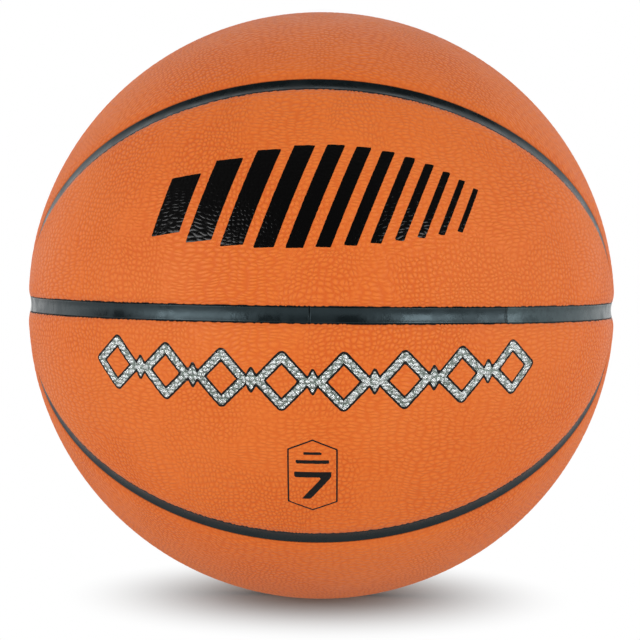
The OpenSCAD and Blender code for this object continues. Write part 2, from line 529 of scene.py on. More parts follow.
def print_places(points, latitude):
    """Places on the print, which is laid flat over the ball at this latitude of the front."""
    middle, up = place_and_up(latitude)
    angle = np.arccos(np.clip(points @ middle, -1, 1))
    flat = np.stack([points[..., 0], points @ up], axis=-1)
    size = np.maximum(np.linalg.norm(flat, axis=-1), 1e-9)
    return (flat / size[..., None] * (angle * BALL_R)[..., None]).reshape(-1, 2)


# %% [markdown]
# The bars lean like a runner. Their widths shrink from left to right while the gaps stay, and
# their height swells and falls along the row.

# %% Bars in black ink
BAR_LATITUDE = math.radians(21.2)
BAR_COUNT = 12
BAR_FIRST_W = 0.0122
BAR_SHRINK = 0.86
BAR_GAP = 0.0042
BAR_HALF_HEIGHT = 0.0205
BAR_TAPER = 0.55
BAR_LEAN = 0.36


def bars():
    """The corners of each leaning bar."""
    widths = [BAR_FIRST_W * BAR_SHRINK**k for k in range(BAR_COUNT)]
    total = sum(widths) + BAR_GAP * (BAR_COUNT - 1)
    left = -total / 2
    shapes = []
    for width in widths:
        place = (left + width / 2) / (total / 2)
        half = BAR_HALF_HEIGHT * (1 - BAR_TAPER * place * place)
        corners = [(left, -1), (left + width, -1), (left + width, 1), (left, 1)]
        shapes.append([(x + side * BAR_LEAN * half, side * half) for x, side in corners])
        left += width + BAR_GAP
    return shapes


print(f"{len(bars())} bars, {(bars()[-1][1][0] - bars()[0][0][0]) * 1000:.0f} mm long")

# %% [markdown]
# The chain has open rhombs with small solid ones between them. An open rhomb is a band round a
# line, so its distance is worked out from that line.

# %% Chain in silver foil
CHAIN_LATITUDE = math.radians(-11.6)
RHOMB_COUNT = 8
RHOMB_PITCH = 0.0226
RHOMB_HALF_W = 0.0086
RHOMB_HALF_H = 0.0092
RHOMB_BAND = 0.0027
BEAD_HALF_W = 0.0023
BEAD_HALF_H = 0.0042


def rhomb(x, half_w, half_h):
    return [(x - half_w, 0), (x, -half_h), (x + half_w, 0), (x, half_h)]


def chain_distance(places):
    """Metres from the foil's outline."""
    middles = [(k - (RHOMB_COUNT - 1) / 2) * RHOMB_PITCH for k in range(RHOMB_COUNT)]
    lines = [outline_distance(places, rhomb(x, RHOMB_HALF_W, RHOMB_HALF_H)) for x in middles]
    bands = np.abs(lines).min(0) - RHOMB_BAND / 2
    beads = [rhomb(x + RHOMB_PITCH / 2, BEAD_HALF_W, BEAD_HALF_H) for x in middles[:-1]]
    return np.minimum(bands, union_distance(places, beads))


# %% [markdown]
# The size mark is a six-sided frame of a thin line, with the number in its lower half and two
# plain bars above it.

# %% Size mark
MARK_LATITUDE = math.radians(-29.8)
MARK_FRAME = [
    (-0.0090, -0.0118), (0, -0.0158), (0.0090, -0.0118), (0.0090, 0.0118), (0, 0.0158), (-0.0090, 0.0118),
]
MARK_SEVEN = [
    (-0.0068, 0.0022), (0.0070, 0.0022), (0.0070, 0.0000), (-0.0008, -0.0104), (-0.0042, -0.0104),
    (0.0034, -0.0003), (-0.0068, -0.0003),
]
MARK_BARS = [
    [(-0.0062, 0.0058), (0.0062, 0.0058), (0.0062, 0.0074), (-0.0062, 0.0074)],
    [(-0.0034, 0.0096), (0.0034, 0.0096), (0.0034, 0.0108), (-0.0034, 0.0108)],
]


# %% What each vertex holds
def print_distances(points, name):
    """For each vertex of a panel, the distances from black shapes, foil and the frame's line."""
    count = points.reshape(-1, 3).shape[0]
    ink, foil, line = [np.full(count, FAR_OFF) for _ in range(3)]
    if name == "panel_front_upper":
        ink = union_distance(print_places(points, BAR_LATITUDE), bars())
    if name == "panel_front_lower":
        foil = chain_distance(print_places(points, CHAIN_LATITUDE))
        mark = print_places(points, MARK_LATITUDE)
        ink = union_distance(mark, [MARK_SEVEN, *MARK_BARS])
        line = outline_distance(mark, MARK_FRAME)
    return ink, foil, line


# %% [markdown]
# ## Placing nodes
#
# Node trees are quick to draw by hand and long to write. The helpers below keep the code short.
# What a node gives out is held as a Value, and Python's own signs then place the nodes that do the
# sums: a * b + 1 makes a Multiply node and an Add node. All of this works in shader trees and in
# geometry trees alike.


# %% Values that come out of nodes
class Value:
    """What a socket gives out. A sum with it places the node that does the sum."""

    def __init__(self, socket):
        self.socket, self.tree = socket, socket.id_data

    def __add__(self, other):
        return calc("ADD", self, other)

    def __sub__(self, other):
        return calc("SUBTRACT", self, other)

    def __rsub__(self, other):
        return calc("SUBTRACT", other, self)

    def __mul__(self, other):
        return calc("MULTIPLY", self, other)


def fill(node, sockets):
    """Fills a node's sockets, by name or number, with plain values or with what other nodes give."""
    for name, value in sockets.items():
        if isinstance(value, Value):
            value.tree.links.new(value.socket, node.inputs[name])
        else:
            node.inputs[name].default_value = value


def put(tree, kind, sockets=None, output=0, **settings):
    """Places a node, fills its sockets and gives one of its outputs."""
    node = tree.nodes.new(kind)
    for name, value in settings.items():
        setattr(node, name, value)
    fill(node, sockets or {})
    return Value(node.outputs[output])


# %% Sums, ramps and mixes
def calc(operation, *values):
    """A sum of two numbers, of which one comes from a node."""
    tree = next(value.tree for value in values if isinstance(value, Value))
    return put(tree, "ShaderNodeMath", dict(enumerate(values)), operation=operation)


def most(first, *others):
    """The largest of several values."""
    for other in others:
        first = calc("MAXIMUM", first, other)
    return first


def vector(operation, *values, output=0):
    """A sum of vectors, of which the first comes from a node."""
    sockets = dict(enumerate(values))
    return put(values[0].tree, "ShaderNodeVectorMath", sockets, output, operation=operation)


def ramp(value, low, high, start=0.0, end=1.0):
    """Runs smoothly from start to end while value runs from low to high."""
    sockets = {"Value": value, "From Min": low, "From Max": high, "To Min": start, "To Max": end}
    return put(value.tree, "ShaderNodeMapRange", sockets, interpolation_type="SMOOTHSTEP")


def blend(share, first, second):
    """A colour between two others."""
    return put(share.tree, "ShaderNodeMix", {0: share, 6: first, 7: second}, 2, data_type="RGBA")


def noise(place, scale, detail, roughness, output="Fac"):
    """Soft noise at a place."""
    sockets = {"Vector": place, "Scale": scale, "Detail": detail, "Roughness": roughness}
    return put(place.tree, "ShaderNodeTexNoise", sockets, output)


# %% Node groups
def new_group(kind, name, inputs, outputs):
    """A node group. Sockets are pairs of a name and a type. Gives the group, what comes in and
    the node that takes what goes out."""
    group = bpy.data.node_groups.new(name, kind)
    for way, sockets in (("INPUT", inputs), ("OUTPUT", outputs)):
        for label, socket in sockets.items():
            group.interface.new_socket(name=label, in_out=way, socket_type=socket)
    start, end = group.nodes.new("NodeGroupInput"), group.nodes.new("NodeGroupOutput")
    return group, {label: Value(start.outputs[label]) for label in inputs}, end


# %% [markdown]
# ## Pebbles
#
# The pebbled grain is a pattern of cells, so it starts from Voronoi noise. That noise says how far a
# point lies from the middle of its cell, and how far from the cell's edge. The first distance gives
# a round dome. The share of the first in their sum is 1 along every edge, whatever the cell's size,
# and gives the fine crease round it. A bead is half the one and half the other.
#
# A slow noise bends the sheet first, so that rows of beads swirl and crowd as they do in embossed
# leather. In some patches the beads flatten and run together into wavy ridges. Those are the same
# noise on a sheet that is squeezed along, and a second slow noise says where they lie.
#
# The same nodes are needed twice, in a geometry tree that pushes the mesh and in the shader that
# colours it. One function writes them into either tree, so the two always agree.

# %% Height of a pebble
PEBBLE_PITCH = 0.00185
PEBBLE_RANDOMNESS = 0.66
SWIRL_SIZE = 0.023
SWIRL_PULL = (0.0095, 0.0090, 0)
SWIRL_DETAIL = 3.0
RIDGE_SQUEEZE = (0.52, 1.25, 1.0)
RIDGE_HEIGHT = 0.85
PATCH_SIZE = 0.040
PATCH_EDGE = (0.44, 0.56)
DOME = (0.08, 0.64)
CREASE = (0.45, 1.0)


def beads(place):
    """Round beads, 1 on their tops and 0 in the valleys."""
    cells = {"Vector": place, "Scale": 1 / PEBBLE_PITCH, "Randomness": PEBBLE_RANDOMNESS}
    to_middle, to_edge = [
        put(place.tree, "ShaderNodeTexVoronoi", cells, "Distance", feature=kind, voronoi_dimensions="2D")
        for kind in ("F1", "DISTANCE_TO_EDGE")
    ]
    share = calc("DIVIDE", to_middle, to_middle + to_edge)
    return ramp(to_middle, *DOME, 0.5, 0.0) + ramp(share, *CREASE, 0.5, 0.0)


def pebble_height(sheet):
    """Nodes that give a height from 0 to 1 for a place on the leather sheet."""
    swirl = noise(sheet, 1 / SWIRL_SIZE, SWIRL_DETAIL, 0.5, "Color")
    pull = vector("MULTIPLY", vector("SUBTRACT", swirl, (0.5, 0.5, 0.5)), SWIRL_PULL)
    bent = vector("ADD", sheet, pull)
    squeezed = vector("MULTIPLY", bent, RIDGE_SQUEEZE)
    ridges = beads(squeezed) * RIDGE_HEIGHT + (1 - RIDGE_HEIGHT)
    patches = ramp(noise(sheet, 1 / PATCH_SIZE, 1.0, 0.5), *PATCH_EDGE)
    return put(sheet.tree, "ShaderNodeMix", {0: patches, 2: beads(bent), 3: ridges})


# %% [markdown]
# A geometry tree reads the place on the sheet from the mesh, works out the height there and pulls
# the grooves in towards the middle of the ball. Nothing is pushed out, so the cover stays inside
# the size the CAD model gives it. Once the tree has run, its result becomes the mesh.

# %% Pebbles in the mesh
PEBBLE_DEPTH = 0.00014
GEOMETRY = {"Geometry": "NodeSocketGeometry"}

push, push_in, push_end = new_group("GeometryNodeTree", "pebble_press", GEOMETRY, GEOMETRY)
sheet, amount = [
    put(push, "GeometryNodeInputNamedAttribute", {"Name": name}, "Attribute", data_type=kind)
    for name, kind in (("sheet", "FLOAT_VECTOR"), ("pebbled", "FLOAT"))
]
depth = (1.0 - pebble_height(sheet)) * amount * -PEBBLE_DEPTH
outwards = vector("NORMALIZE", put(push, "GeometryNodeInputPosition"))
offset = put(push, "ShaderNodeVectorMath", {0: outwards, "Scale": depth}, operation="SCALE")
moved = {"Geometry": push_in["Geometry"], "Offset": offset}
fill(push_end, {"Geometry": put(push, "GeometryNodeSetPosition", moved)})


def press_pebbles(piece):
    """Runs the tree on a piece and keeps the result as its mesh."""
    piece.modifiers.new("pebbles", "NODES").node_group = push
    depsgraph = bpy.context.evaluated_depsgraph_get()
    pressed = bpy.data.meshes.new_from_object(piece.evaluated_get(depsgraph))
    piece.modifiers.clear()
    piece.data = pressed


# %% [markdown]
# ## Grain and scuffs
#
# Every finish on this ball needs a fine grain and a slow change in its shine, only at other sizes.
# Both are shader groups, built once, and a third one holds the pebbles. A group gives out a value
# that a material is free to use.

# %% Shader groups
FLOAT, VECTOR = "NodeSocketFloat", "NodeSocketVector"


def surface_group(name, inputs, output):
    return new_group("ShaderNodeTree", name, inputs, {output: FLOAT})


grain, given, end = surface_group("fine_grain", {"Place": VECTOR, "Size": FLOAT}, "Height")
fill(end, {"Height": noise(given["Place"], calc("DIVIDE", 1.0, given["Size"]), 3.0, 0.6)})

scuffs, given, end = surface_group("soft_scuffs", {"Place": VECTOR, "Size": FLOAT}, "Mask")
clouds = noise(given["Place"], calc("DIVIDE", 1.0, given["Size"]), 4.0, 0.55)
fill(end, {"Mask": ramp(clouds, 0.35, 0.68)})

pebbles, given, end = surface_group("pebble_pattern", {"Sheet": VECTOR}, "Height")
fill(end, {"Height": pebble_height(given["Sheet"])})
print("groups:", ", ".join(g.name for g in bpy.data.node_groups))


# %% What the materials share
def use(group, place, **sockets):
    """Places one of the shader groups."""
    return put(place.tree, "ShaderNodeGroup", {0: place, **sockets}, node_tree=group)


def attribute(tree, name, output="Fac"):
    """What the mesh holds under this name."""
    return put(tree, "ShaderNodeAttribute", output=output, attribute_name=name)


def ray(tree, *kinds):
    """1 where the light path is of one of these kinds."""
    return most(*[put(tree, "ShaderNodeLightPath", output=f"Is {kind} Ray") for kind in kinds])


def bump(relief):
    """The normal of a surface with this relief, in metres."""
    sockets = {"Height": relief, "Strength": 1.0, "Distance": 1.0}
    return put(relief.tree, "ShaderNodeBump", sockets)


def new_material(name):
    """An empty material with a Principled shader, and its tree."""
    material = bpy.data.materials.new(name)
    material.use_nodes = True
    return material, material.node_tree, material.node_tree.nodes["Principled BSDF"]


# %% [markdown]
# ## Composite leather
#
# The cover is a soft polyurethane on a woven backing. It is a warm orange, and satin rather than
# shiny. Its grooves are painted a deeper orange than the tops of the pebbles, which is painted
# shade. Its shine is broken up by a fine grain. Within a few millimetres of its edges it is a little
# darker and smoother. On the half-oval panels a ragged near-black rim is painted along the strips,
# reaching further into the grooves: a painted shadow of the gap between strip and leather.
#
# Light that the ball throws on the floor is orange too. The photograph's floor is a clean grey, so
# the light path tells the cover when it is only lighting something else, and then it answers in
# grey.
#
# The printed panels share this material. Black ink is smooth and fills the grooves a little. Foil
# is a metal skin that follows each pebble, which makes it glitter, and its valleys are painted
# darker, which is painted shade.

# %% Leather colours
LEATHER_TOP = (0.785, 0.172, 0.018, 1)
# painted shade: the deeper orange of the grooves stands in for the shade in them
LEATHER_GROOVE_SHADE = (0.66, 0.110, 0.006, 1)
LEATHER_PALE = (0.79, 0.190, 0.029, 1)
LEATHER_EDGE = (0.60, 0.108, 0.014, 1)
SPILL = (0.15, 0.145, 0.14, 1)
SPILL_SHARE = 0.85
INK = (0.0009, 0.0008, 0.0009, 1)
FOIL = (0.82, 0.865, 0.86, 1)
# painted shade: the darker grey of the foil in the valleys between pebbles
FOIL_VALLEY_SHADE = (0.26, 0.31, 0.28, 1)
# painted shadow: near-black painted along the strips' edge on the half-oval panels
RIM_SHADOW_BLACK = (0.0040, 0.0045, 0.0050, 1)
RIM_SHADOW_REACH = 0.00038
RIM_SHADOW_FROM, RIM_SHADOW_TO = 0.00022, 0.00040
PEBBLE_BUMP = 0.00020
GRAIN_BUMP = 0.00003
LEATHER_GRAIN = 0.0005
PALE_SIZE, PALE_SHARE = 0.055, 0.35
EDGE_DARKER_W, EDGE_DARKER_SHARE, EDGE_SMOOTHER = 0.0032, 0.35, 0.06
GRAIN_RANGE, SATIN = (0.3, 0.7), (0.44, 0.60)
GROOVE_DULLER = 0.12


def leather(name, printed):
    """The cover's material, with or without ink and foil."""
    material, tree, shader = new_material(name)
    sheet = attribute(tree, "sheet", "Vector")
    height = use(pebbles, sheet)
    fine = use(grain, sheet, Size=LEATHER_GRAIN)
    edge = ramp(attribute(tree, "edge"), 0.0, EDGE_DARKER_W, 1.0, 0.0)
    # painted shade: from the orange of the pebble tops down to a deeper orange in the grooves
    colour = blend(height, LEATHER_GROOVE_SHADE, LEATHER_TOP)
    colour = blend(use(scuffs, sheet, Size=PALE_SIZE) * PALE_SHARE, colour, LEATHER_PALE)
    # the leather turns a little darker and smoother within a few millimetres of its edges
    colour = blend(edge * EDGE_DARKER_SHARE, colour, LEATHER_EDGE)
    # painted shadow of the gap between strip and leather, reaching further into the grooves
    rim_shadow = attribute(tree, "rim") + height * RIM_SHADOW_REACH
    colour = blend(ramp(rim_shadow, RIM_SHADOW_FROM, RIM_SHADOW_TO, 1.0, 0.0), colour, RIM_SHADOW_BLACK)
    rough = ramp(fine, *GRAIN_RANGE, *SATIN) + ramp(height, 0.0, 1.0, GROOVE_DULLER, 0.0)
    rough = rough - edge * EDGE_SMOOTHER
    relief = height * PEBBLE_BUMP
    if printed:
        colour, rough, relief = print_on(shader, sheet, height, colour, rough, relief)
    colour = blend(ray(tree, "Diffuse") * SPILL_SHARE, colour, SPILL)
    normal = bump(relief + fine * GRAIN_BUMP)
    fill(shader, {"Base Color": colour, "Roughness": rough, "Normal": normal})
    fill(shader, {"Specular IOR Level": 0.30, "Sheen Weight": 0.09, "Sheen Roughness": 0.45})
    return material


# %% Ink and foil on the leather
EDGE_SOFTNESS = 0.00005
SOAK_IN_VALLEY, SOAK_ON_TOP = 0.00006, -0.00003
OUTLINE_W = 0.00078
FRAME_LINE_W = 0.00062
INK_ROUGHNESS = 0.17
INK_FILLS = 0.62
FOIL_ROUGHNESS = 0.32
FOIL_RELIEF = 0.65
FOIL_BRIGHT = (0.15, 0.75)
CRINKLE_SIZE = 0.0007
CRINKLE_DEPTH = 0.00060


def within(distance, limit):
    """1 where a distance is below the limit."""
    return ramp(distance, limit - EDGE_SOFTNESS, limit + EDGE_SOFTNESS, 1.0, 0.0)


def print_on(shader, sheet, height, colour, rough, relief):
    """Lays ink and foil over the leather's colour, shine and relief."""
    soak = ramp(height, 0.0, 1.0, SOAK_IN_VALLEY, SOAK_ON_TOP)
    ink, foil, line = [attribute(sheet.tree, name) for name in ("ink", "foil", "line")]
    foil = foil + soak
    frame_line = within(calc("ABSOLUTE", line), FRAME_LINE_W / 2)
    black = most(within(ink + soak, 0.0), within(foil, OUTLINE_W), frame_line)
    silver = within(foil, 0.0)
    # painted glitter: the foil is painted darker in the valleys, painted shade, over its real metal shine
    painted_glitter = blend(ramp(height, *FOIL_BRIGHT), FOIL_VALLEY_SHADE, FOIL)
    colour = blend(silver, blend(black, colour, INK), painted_glitter)
    rough = rough * (1.0 - black) + black * INK_ROUGHNESS
    rough = rough * ramp(silver, 0.0, 1.0, 1.0, FOIL_ROUGHNESS)
    fill(shader, {"Metallic": silver})
    filled = 1.0 - black * INK_FILLS + silver * FOIL_RELIEF
    crinkle = use(grain, sheet, Size=CRINKLE_SIZE) * silver * CRINKLE_DEPTH
    return colour, rough, relief * filled + crinkle


cover_plain = leather("cover_leather", False)
cover_printed = leather("cover_leather_printed", True)

# %% [markdown]
# ## Building the panels
#
# Now each panel is made: its net, its edges, its place on the sheet and its print. The two shapes
# worked out for the upper front are mirrored to the other quarters.


# %% Mesh of a piece
def into_scene(name, data):
    """A new object that is part of the scene."""
    thing = bpy.data.objects.new(name, data)
    bpy.context.scene.collection.objects.link(thing)
    return thing


def new_piece(name, points, faces, values, material):
    """A smooth mesh object. values maps an attribute's name to one value for each vertex."""
    used = np.unique(np.concatenate([np.asarray(f) for f in faces]))
    renumber = np.full(len(points), -1)
    renumber[used] = np.arange(len(used))
    mesh = bpy.data.meshes.new(name)
    mesh.from_pydata(points[used], [], [[int(renumber[i]) for i in f] for f in faces])
    for label, data in values.items():
        kind, field = ("FLOAT_VECTOR", "vector") if data.ndim == 2 else ("FLOAT", "value")
        layer = mesh.attributes.new(label, kind, "POINT")
        layer.data.foreach_set(field, data[used].astype(np.float32).ravel())
    mesh.shade_smooth()
    mesh.materials.append(material)
    return into_scene(name, mesh)


def mirrored(points, back, lower):
    return points * np.array([1, -1 if back else 1, -1 if lower else 1])


def stand_in(node, made_of, points, faces, values, material):
    """Makes the piece that takes the place of a CAD node, in the node's own quarter."""
    back, lower = "back" in node, "lower" in node
    if back != lower:
        faces = [face[::-1] for face in faces]
    piece = new_piece(f"{made_of}_{node}", mirrored(points, back, lower), faces, values, material)
    if "sheet" in values:
        press_pebbles(piece)
    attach(piece, "root")
    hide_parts(node)
    print(piece.name, "has", len(piece.data.vertices), "vertices")
    return piece


# %% Panel of leather
PRINTED = ("panel_front_upper", "panel_front_lower")
BOTTOM_R = CARCASS_R + LAYER_GAP
PEBBLES_UNDER_INK = 0.22
ARCH_EDGE_SHARE, ARCH_EDGE_W = 0.45, 0.0035
STRETCHED_W, STRETCHED_SHARE = 0.028, 0.3
RIM_SLOPE_SHARE = 0.42


def make_panel(node, number):
    """Builds the leather piece that stands for a CAD panel."""
    arch, back, lower = node.startswith("arch"), "back" in node, "lower" in node
    net = round_corners(arch_panel_net() if arch else oval_panel_net(), arch)
    distances = edge_distances(net, arch)
    drop = edge_drop(distances)
    edge = nearest_edge(distances)
    block = None
    if node == "panel_back_upper":
        block = hole_block(net)
        net, from_hole = open_hole(net)
        drop = drop + HOLE_DROP * closeness(from_hole, HOLE_ROLL_W) ** 2 + rounding(from_hole)
        edge = np.minimum(edge, from_hole)
    cells = kept_cells(net.shape[0] - 1, net.shape[1] - 1, block)
    top = net * (COVER_R - drop)[..., None]
    points, faces = closed_sheet(top, net * BOTTOM_R, cells)
    pebbled = np.clip((distances[0] + distances[1]) / STRETCHED_W, STRETCHED_SHARE, 1)
    # distance used for the painted shadow along the strips; the arched panels get none
    rim = np.minimum(distances[0], distances[1] * RIM_SLOPE_SHARE)
    if arch:
        pebbled = pebbled * (1 - (1 - ARCH_EDGE_SHARE) * closeness(edge, ARCH_EDGE_W))
        rim = np.full(edge.shape, FAR_OFF)
    ink, foil, line = print_distances(mirrored(net, back, lower), node)
    pebbled = pebbled.ravel() * np.where(ink < 0, PEBBLES_UNDER_INK, 1)
    values = {
        "sheet": np.tile(sheet_places(net, arch, number).reshape(-1, 3), (2, 1)),
        "edge": np.tile(edge.ravel(), 2),
        "rim": np.tile(rim.ravel(), 2),
        "pebbled": np.concatenate([pebbled, np.zeros(edge.size)]),
    }
    if node in PRINTED:
        values.update(ink=np.tile(ink, 2), foil=np.tile(foil, 2), line=np.tile(line, 2))
    material = cover_printed if node in PRINTED else cover_plain
    stand_in(node, "leather", points, faces, values, material)


panel_nodes = sorted(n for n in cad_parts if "panel" in n)
for number, node in enumerate(panel_nodes):
    make_panel(node, number)

# %% [markdown]
# ## Rubber strips
#
# A strip of black rubber is laid in each channel and moulded to it. Its top is a shallow hollow.
# The piece is swept: one cross-section is carried along the seam, and each step of it is a ring of
# vertices. Where two channels cross, the deeper of the two hollows wins, so that they run into
# each other as they do on the ball.

# %% Cross-section of a strip
SIDE_GROOVE_W = 0.0005
SIDE_GROOVE_DEPTH = 0.0005
SIDE_SLOPE = 0.08
MIDDLE_SHARE = 0.80
STRIP_SHARES = np.linspace(-MIDDLE_SHARE, MIDDLE_SHARE, 15)
STRIP_EDGES = np.linspace(MIDDLE_SHARE, 1, 6)[1:]
STRIP_SHARES = np.concatenate([-STRIP_EDGES[::-1], STRIP_SHARES, STRIP_EDGES])
STRIP_SIDE = half_channel + LAYER_GAP
EAR_SIDE = half_channel + CORNER_R / 2
EAR_LENGTH = 0.0052
JOINT_DEPTH = 0.00025
JOINT_W = 0.00020


def hollow(across):
    """Depth of a strip's top for a distance from the strip's middle."""
    share = np.clip(np.abs(across) / half_channel, 0, 1)
    return STRIP_MIDDLE_DEPTH + (STRIP_LIP_DEPTH - STRIP_MIDDLE_DEPTH) * share**2


def crossing_depth(directions):
    """Depth that the channels crossing the equator give at these directions, or 0 outside them."""
    quarter = np.abs(directions) * np.array([1, -1, 1])
    to_oval = np.abs(angle_from_oval(quarter)) * BALL_R
    to_meridian = np.arcsin(-quarter[..., 1]) * BALL_R
    nearest = np.minimum(to_oval, to_meridian)
    return np.where(nearest < half_channel, hollow(nearest), 0)


def sweep(path, side_ways, widths, cracks, painted_sheen, closed):
    """A strip along a path of directions. widths is half the width at each step, and cracks says
    how open the nearest butt joint is there, from 0 to 1."""
    across = STRIP_SHARES[None, :] * widths[:, None]
    angles = (across / BALL_R)[..., None]
    directions = np.cos(angles) * path[:, None] + np.sin(angles) * side_ways[:, None]
    depth = hollow(across) + JOINT_DEPTH * cracks[:, None]
    if closed:
        depth = np.maximum(depth, crossing_depth(directions))
    outside = np.abs(across) - half_channel
    depth = depth + SIDE_GROOVE_DEPTH * closeness(np.abs(outside), SIDE_GROOVE_W)
    depth = depth + np.clip(outside, 0, None) * SIDE_SLOPE
    top = directions * (BALL_R - depth)[..., None]
    under = directions[:, [-1, len(STRIP_SHARES) // 2, 0]] * BOTTOM_R
    rings = np.concatenate([top, under], axis=1)
    steps, ring = rings.shape[:2]
    values = {"crack": np.repeat(cracks, ring), "painted_sheen": np.repeat(painted_sheen, ring)}
    number = np.arange(steps * ring).reshape(steps, ring)
    first = number if closed else number[:-1]
    following = np.roll(number, -1, axis=0) if closed else number[1:]
    quads = [first, np.roll(first, -1, axis=1), np.roll(following, -1, axis=1), following]
    faces = np.stack(quads, axis=-1).reshape(-1, 4).tolist()
    if not closed:
        faces += [number[0][::-1].tolist(), number[-1].tolist()]
    return rings, faces, values


# %% [markdown]
# The strip along the equator is one ring of several lengths with butt joints between them. One
# length, to the right of the front, is painted paler in patches: a painted reflection of the side
# light on the rubber. The ring gets small ears where the other channels leave it, to fill the round
# corners of the leather. The other six strips start at those ears.

# %% Rubber
RUBBER = (0.0035, 0.0060, 0.0068, 1)
RUBBER_WORN = (0.0060, 0.0095, 0.0110, 1)
# painted reflection: the paler grey painted on one length of strip
RUBBER_PAINTED_SHEEN = (0.045, 0.066, 0.071, 1)
SHINE_TINT = (0.66, 0.90, 1.0, 1)
JOINT_DARK = (0.0040, 0.0060, 0.0065, 1)
CRACK_DARK_FROM = 0.6
FINE_SIZE, SLOW_SIZE, DULL_SIZE = 0.0004, 0.0024, 0.009
SHEEN_PATCHES = (0.25, 0.62, 0.45, 1.0)
DULLER, FINE_ROUGH = 0.16, 0.06
FINE_RELIEF = 0.000006


def rubber(name, fresh, worn, roughness, ripple, joined=False):
    """Smooth moulded rubber with a soft ripple and a fine grain."""
    material, tree, shader = new_material(name)
    place = put(tree, "ShaderNodeTexCoord", output="Object")
    fine = use(grain, place, Size=FINE_SIZE)
    slow = use(grain, place, Size=SLOW_SIZE)
    dull = use(scuffs, place, Size=DULL_SIZE)
    colour = blend(dull, fresh, worn)
    rough = ramp(dull, 0.0, 1.0, roughness, roughness + DULLER) + fine * FINE_ROUGH
    if joined:
        # painted reflection: paler patches on one length of the equator strip
        painted_sheen = attribute(tree, "painted_sheen") * ramp(slow, *SHEEN_PATCHES)
        crack = ramp(attribute(tree, "crack"), 0.0, CRACK_DARK_FROM)
        colour = blend(crack, blend(painted_sheen, colour, RUBBER_PAINTED_SHEEN), JOINT_DARK)
        rough = most(rough, crack)
        shine = blend(crack, SHINE_TINT, JOINT_DARK)
        fill(shader, {"Specular Tint": shine, "Specular IOR Level": 0.6})
    normal = bump(fine * FINE_RELIEF + slow * ripple)
    fill(shader, {"Base Color": colour, "Roughness": rough, "Normal": normal})
    return material


strip_rubber = rubber(
    "strip_rubber", RUBBER, RUBBER_WORN, roughness=0.20, ripple=0.00007, joined=True
)


def finish_strip(node, rings, faces, values):
    """Makes the strip's mesh and puts it in the place of its CAD node."""
    points = rings.reshape(-1, 3)
    stand_in(node, "rubber", points, faces, values, strip_rubber)


# %% Strip along the equator
EQUATOR_JOINTS = np.radians([-58.9, -0.7, 36.1, 36.5, 121.0, -148.0])
EQUATOR_OPEN = np.array([0.22, 1.0, 0.34, 0.34, 0.8, 0.8])
EQUATOR_STEPS = 1520
# painted reflection: how far it stays full, and how strong it is beyond
SHEEN_FULL_TO = math.radians(40.2)
SHEEN_FURTHER_ON = 0.7
CROSSINGS = np.array([OVAL_END, math.pi / 2, math.pi - OVAL_END])
CROSSINGS = np.concatenate([CROSSINGS, -CROSSINGS])
JOINT_STEPS = np.array([-0.0004, -0.00015, 0, 0.00015, 0.0004])


def turn_distances(turns, places):
    """Metres along the equator from each of several places."""
    return np.abs((turns[:, None] - places[None, :] + math.pi) % (2 * math.pi) - math.pi) * BALL_R


def crack_shares(distances, openings):
    """How open the nearest joint is, for the distances from several joints."""
    return (openings * np.exp(-((distances / JOINT_W) ** 2))).max(1)


turns = np.linspace(-math.pi, math.pi, EQUATOR_STEPS, endpoint=False)
turns = np.sort(np.concatenate([turns, (EQUATOR_JOINTS[:, None] + JOINT_STEPS / BALL_R).ravel()]))
path = level(0.0, turns)
side_ways = np.tile([0, 0, 1.0], (len(turns), 1))
widths = np.where(turn_distances(turns, CROSSINGS).min(1) < EAR_LENGTH, EAR_SIDE, STRIP_SIDE)
sheen_from, sheen_to = EQUATOR_JOINTS[3:5]
# painted reflection on one length of the strip: full at first, then weaker
painted_sheen = np.where(turns < SHEEN_FULL_TO, 1.0, SHEEN_FURTHER_ON)
painted_sheen = np.where((turns > sheen_from) & (turns < sheen_to), painted_sheen, 0.0)
cracks = crack_shares(turn_distances(turns, EQUATOR_JOINTS), EQUATOR_OPEN)
finish_strip("strip_equator", *sweep(path, side_ways, widths, cracks, painted_sheen, True))

# %% Strips along the meridian and the ovals
START_LATITUDE = EAR_SIDE / BALL_R
STRIP_STEPS = 700
shares = np.linspace(0, 1, STRIP_STEPS)


def sweep_halves(path, side_ways, length, joints):
    """Sweeps the strips of a seam. joints maps each to its joint's place, in metres, and how open
    that joint is."""
    widths = np.full(STRIP_STEPS, STRIP_SIDE)
    for node, (place, opening) in joints.items():
        distances = np.abs(shares * length - place)[:, None]
        cracks = crack_shares(distances, np.array([opening]))
        finish_strip(node, *sweep(path, side_ways, widths, cracks, np.zeros(STRIP_STEPS), False))


turns = START_LATITUDE + shares * (math.pi - 2 * START_LATITUDE)
path = np.stack([np.cos(turns), np.zeros_like(turns), np.sin(turns)], axis=-1)
side_ways = np.tile([0, -1.0, 0], (STRIP_STEPS, 1))
joints = {"strip_meridian_upper": (0.251, 0.8), "strip_meridian_lower": (0.118, 0.8)}
sweep_halves(path, side_ways, BALL_R * (math.pi - 2 * START_LATITUDE), joints)

oval_length = BALL_R * (2 * end_length + long_length)
for side in ("front", "back"):
    joints = {
        f"strip_oval_{side}_upper": (0.5 * oval_length, 0.3),
        f"strip_oval_{side}_lower": (0.02 * oval_length, 0.5),
    }
    sweep_halves(*oval_path(0, START_LATITUDE, shares), oval_length, joints)

# %% [markdown]
# ## The valve
#
# A rubber plug closes the hole in the back. Its face is a low dome with a rim, and in its middle a
# dimple leads to the needle's hole. A profile turned round the valve's axis makes it in one go,
# down to the rib that locks it inside its socket.

